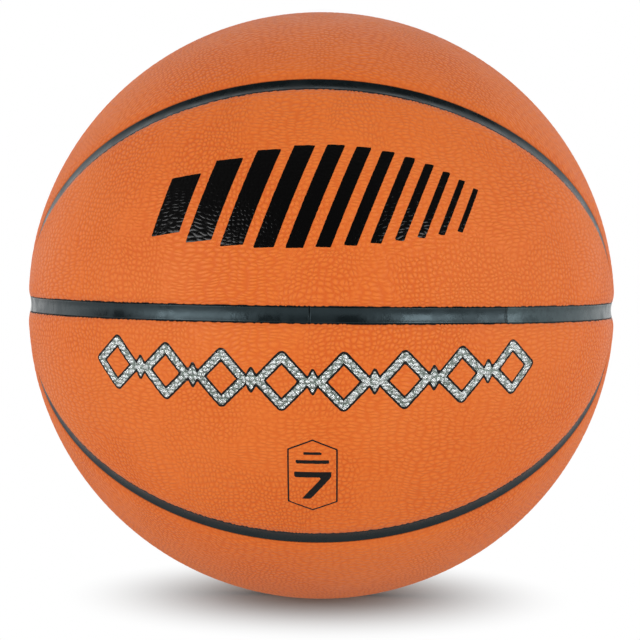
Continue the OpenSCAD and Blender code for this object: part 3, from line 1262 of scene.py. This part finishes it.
# %% Turned valve
VALVE_SIDES = 96
VALVE_PROFILE = [
    (0.00098, 0.0080), (0.00098, 0.00115), (0.00108, 0.00098), (0.00128, 0.00088),
    (0.0015, 0.00082), (0.0019, 0.00078), (0.0024, 0.00080), (0.0027, 0.00086), (0.00285, 0.00098),
    (0.0030, 0.00098), (0.00315, 0.00080), (0.00335, 0.00073), (0.00350, 0.00076), (0.00362, 0.00090),
    (0.00366, 0.00120), (0.00366, 0.0022), (0.0030, 0.0022), (0.0030, 0.0127), (0.0038, 0.0127),
    (0.0038, 0.0142), (0.0030, 0.0142), (0.0030, 0.0157),
]
VALVE_DARK, VALVE_WORN = (0.012, 0.012, 0.013, 1), (0.030, 0.030, 0.031, 1)
valve_axis, valve_up = mirrored(np.array(place_and_up(VALVE_LATITUDE)), True, False)
turns = np.linspace(0, 2 * math.pi, VALVE_SIDES, endpoint=False)
spokes = np.cos(turns)[:, None] * np.array([1.0, 0, 0]) + np.sin(turns)[:, None] * valve_up
points = [spokes * radius + valve_axis * (BALL_R - depth) for radius, depth in VALVE_PROFILE]
points = np.concatenate(points)
number = np.arange(len(points)).reshape(len(VALVE_PROFILE), VALVE_SIDES)
faces = []
for upper, under in zip(number[:-1], number[1:]):
    faces += np.stack([upper, under, np.roll(under, -1), np.roll(upper, -1)], axis=1).tolist()
faces += [number[0].tolist(), number[-1][::-1].tolist()]
valve_rubber = rubber("valve_rubber", VALVE_DARK, VALVE_WORN, roughness=0.36, ripple=0.00003)
valve = stand_in("valve", "rubber", points, faces, {}, valve_rubber)
valve.data.set_sharp_from_angle(angle=math.radians(50))
print("valve face lies", round((BALL_R - max(points @ valve_axis)) * 1000, 2), "mm below the ball's radius")

# %% [markdown]
# ## The layers inside
#
# The carcass, the thread, the bladder and its valve housing never show on a whole ball. Their
# solids are right as they are, so they keep them and only get their finishes: brown moulded
# rubber, pale thread laid in every direction, and dull black butyl.


# %% Thread
THREAD_DARK, THREAD_PALE = (0.33, 0.25, 0.14, 1), (0.66, 0.57, 0.40, 1)
THREAD_TURNS = ((0.3, 0.9, 0.2), (1.3, 0.2, 1.1), (2.2, 1.4, 0.5))
THREAD_FINENESS = 320.0
THREAD_RELIEF = 0.00012


def wound_thread():
    """Bonded thread: fine lines in three directions, one over the other."""
    material, tree, shader = new_material("thread")
    place = put(tree, "ShaderNodeTexCoord", output="Object")
    layers = []
    for turn in THREAD_TURNS:
        sockets = {"Vector": place, "Rotation": turn}
        turned = put(tree, "ShaderNodeVectorRotate", sockets, rotation_type="EULER_XYZ")
        wave = {"Vector": turned, "Scale": THREAD_FINENESS, "Distortion": 1.5, "Detail": 2.0}
        layers.append(put(tree, "ShaderNodeTexWave", wave, "Fac"))
    lines = most(*layers)
    rough = ramp(lines, 0.0, 1.0, 0.85, 0.6)
    colour = blend(lines, THREAD_DARK, THREAD_PALE)
    fill(shader, {"Base Color": colour, "Roughness": rough, "Normal": bump(lines * THREAD_RELIEF)})
    return material


# %% Finishes of the layers inside
CARCASS_BROWN, CARCASS_WORN = (0.085, 0.040, 0.020, 1), (0.13, 0.065, 0.035, 1)
BUTYL, BUTYL_WORN = (0.014, 0.014, 0.015, 1), (0.028, 0.028, 0.028, 1)
LAYER_RIPPLE = 0.00005
inner_finishes = {
    "carcass": rubber("carcass_rubber", CARCASS_BROWN, CARCASS_WORN, 0.62, LAYER_RIPPLE),
    "winding": wound_thread(),
    "bladder": rubber("bladder_rubber", BUTYL, BUTYL_WORN, 0.55, LAYER_RIPPLE),
}
inner_finishes["valve_housing"] = inner_finishes["bladder"]
for node, material in inner_finishes.items():
    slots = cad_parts[node].data.materials
    slots.clear()
    slots.append(material)
    print(node, "is finished with", material.name)

# %% [markdown]
# ## Camera
#
# The photograph was taken from a bit over three and a half ball widths away, almost level with the
# middle of the ball and a touch to its right. The camera stands there, and looks at a point a little
# below the centre, because the ball sits above the middle of the picture.

# %% Camera at the photograph's place
CAMERA_DISTANCE = 7.3 * BALL_R
CAMERA_WAY = Vector((0.0232, -0.9993, 0.0284)).normalized()
CAMERA_UP = Vector((-0.0118, 0.028, 0.9995))
PHOTO_W = 640
FOCAL_PIXELS = 2122
SENSOR_W = 36.0
AIM_PIXELS = (-1.07, -14.35)

place = CAMERA_WAY * CAMERA_DISTANCE
right = CAMERA_UP.cross(CAMERA_WAY).normalized()
up = CAMERA_WAY.cross(right)
pixel = CAMERA_DISTANCE / FOCAL_PIXELS
aim = right * AIM_PIXELS[0] * pixel + up * AIM_PIXELS[1] * pixel
backwards = (place - aim).normalized()
right = up.cross(backwards).normalized()
up = backwards.cross(right)
camera_data = bpy.data.cameras.new("camera")
camera_data.sensor_width = SENSOR_W
camera_data.lens = FOCAL_PIXELS / PHOTO_W * SENSOR_W
camera_data.clip_start = 0.01
camera = into_scene("camera", camera_data)
camera.matrix_world = Matrix((right, up, backwards)).transposed().to_4x4()
camera.matrix_world.translation = place
bpy.context.scene.camera = camera
print(f"lens {camera_data.lens:.1f} mm, camera at", [round(x, 3) for x in place])

# %% [markdown]
# ## Studio
#
# A white floor carries the ball's soft shadow. Away from the ball it turns pure white for the
# camera, so that it runs into the white background with no horizon. For diffuse rays it glows, as a
# floor in a bright studio lights the underside of what stands on it.
#
# The world is bright behind the ball and darker in front, which keeps the ink black and gives the
# leather its pale rim. Three soft boxes stand in front, one on the left and two on the right.
#
# Cycles can also pick points on glowing floors and worlds as if they were lamps, but a light path
# answers 0 there. So that way of sampling is switched off for both.

# %% Floor
GLOSSY_FRONT, GLOSSY_BACK = 0.04, 1.0
FLOOR_HALF = 4.0
WHITE_FROM, WHITE_TO = 0.022, 0.107
GLOW_NEAR, GLOW_FAR = 0.53, 0.30
GLOW_NEAR_TO, GLOW_FAR_FROM = 0.07, 0.50
MIRRORED_FROM, MIRRORED_TO = 0.40, 1.50
FRONT_TO, BACK_FROM = -0.28, -0.05
FLOOR_GREY = (0.75, 0.75, 0.75, 1)
GLOW_TINT = (1.0, 0.93, 0.80, 1)
WHITE = (1, 1, 1, 1)

floor_z = cad_box[0][2] - LAYER_GAP
corners = [(-1, -1), (1, -1), (1, 1), (-1, 1)]
floor_mesh = bpy.data.meshes.new("floor")
floor_mesh.from_pydata([(x * FLOOR_HALF, y * FLOOR_HALF, floor_z) for x, y in corners], [], [(0, 1, 2, 3)])
floor = into_scene("floor", floor_mesh)
floor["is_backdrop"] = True

floor_white, tree, shader = new_material("floor_white")
fill(shader, {"Base Color": FLOOR_GREY, "Roughness": 0.9, "Specular IOR Level": 0.1})
here = put(tree, "ShaderNodeNewGeometry", output="Position")
away = vector("LENGTH", vector("MULTIPLY", here, (1, 1, 0)), output="Value")
ahead = put(tree, "ShaderNodeSeparateXYZ", {0: here}, "Y")
behind = ramp(ahead, FRONT_TO, BACK_FROM, GLOSSY_FRONT, 1.0)
mirrored_white = behind * ramp(away, MIRRORED_FROM, MIRRORED_TO)
glowing = ramp(away, GLOW_NEAR_TO, GLOW_FAR_FROM, GLOW_NEAR, GLOW_FAR)
white = most(
    ramp(away, WHITE_FROM, WHITE_TO) * ray(tree, "Camera"),
    mirrored_white * ray(tree, "Glossy", "Transmission"),
    ray(tree, "Diffuse") * glowing,
)
tint = blend(ray(tree, "Diffuse"), WHITE, GLOW_TINT)
glow = put(tree, "ShaderNodeEmission", {"Color": tint, "Strength": 1.0})
mixed = put(tree, "ShaderNodeMixShader", {0: white, 1: Value(shader.outputs[0]), 2: glow})
fill(tree.nodes["Material Output"], {"Surface": mixed})
floor_white.cycles.emission_sampling = "NONE"
floor_mesh.materials.append(floor_white)

# %% World
DIFFUSE_FRONT, DIFFUSE_BACK = 0.475, 0.59
OVERHEAD_DARKER, OVERHEAD_LIFT = 0.34, 0.06
SOFT_TURN, MIRRORED_TURN = (-0.45, 0.30), (-0.12, 0.24)

world = bpy.data.worlds.new("studio")
bpy.context.scene.world = world
world.use_nodes = True
tree = world.node_tree
direction = put(tree, "ShaderNodeTexCoord", output="Generated")
ahead, up = [put(tree, "ShaderNodeSeparateXYZ", {0: direction}, axis) for axis in "YZ"]
soft = ramp(ahead, *SOFT_TURN, DIFFUSE_FRONT, DIFFUSE_BACK) + up * OVERHEAD_LIFT
tilted = ahead - up * OVERHEAD_DARKER
mirrored_studio = ramp(tilted, *MIRRORED_TURN, GLOSSY_FRONT, GLOSSY_BACK)
sockets = {0: ray(tree, "Glossy", "Transmission"), 2: soft, 3: mirrored_studio}
around = put(tree, "ShaderNodeMix", sockets)
fill(tree.nodes["Background"], {"Strength": most(around, ray(tree, "Camera")), "Color": WHITE})
world.cycles.sampling_method = "NONE"


# %% Lamps
def softbox(name, place, size, watts):
    """A soft box, which is a rectangular area lamp, that faces the ball."""
    data = bpy.data.lights.new(name, "AREA")
    data.shape = "RECTANGLE"
    data.size, data.size_y = size
    data.energy = watts
    lamp = into_scene(name, data)
    lamp.location = place
    lamp.rotation_euler = Vector(place).to_track_quat("Z", "Y").to_euler()


softbox("softbox_left", (-1.10, -1.02, 0.17), (0.85, 0.62), 8.95)
softbox("softbox_right_front", (0.964, -1.149, 0.17), (0.54, 0.62), 5.5)
softbox("softbox_right_side", (1.418, -0.488, 0.17), (0.48, 0.62), 3.5)
bpy.context.scene.view_settings.view_transform = "Standard"

# %% [markdown]
# ## The size
#
# The dressed ball is built to be no larger than the CAD model. Both boxes are printed side by side.


# %% Write the boxes
def plain(value):
    """Vectors and tuples as plain lists of numbers."""
    if isinstance(value, (int, float)):
        return float(value)
    return [plain(v) for v in value]


looks_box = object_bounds()
{"cad": plain(cad_box), "looks": plain(looks_box)}
print("CAD box  ", plain(cad_box))
print("looks box", plain(looks_box))
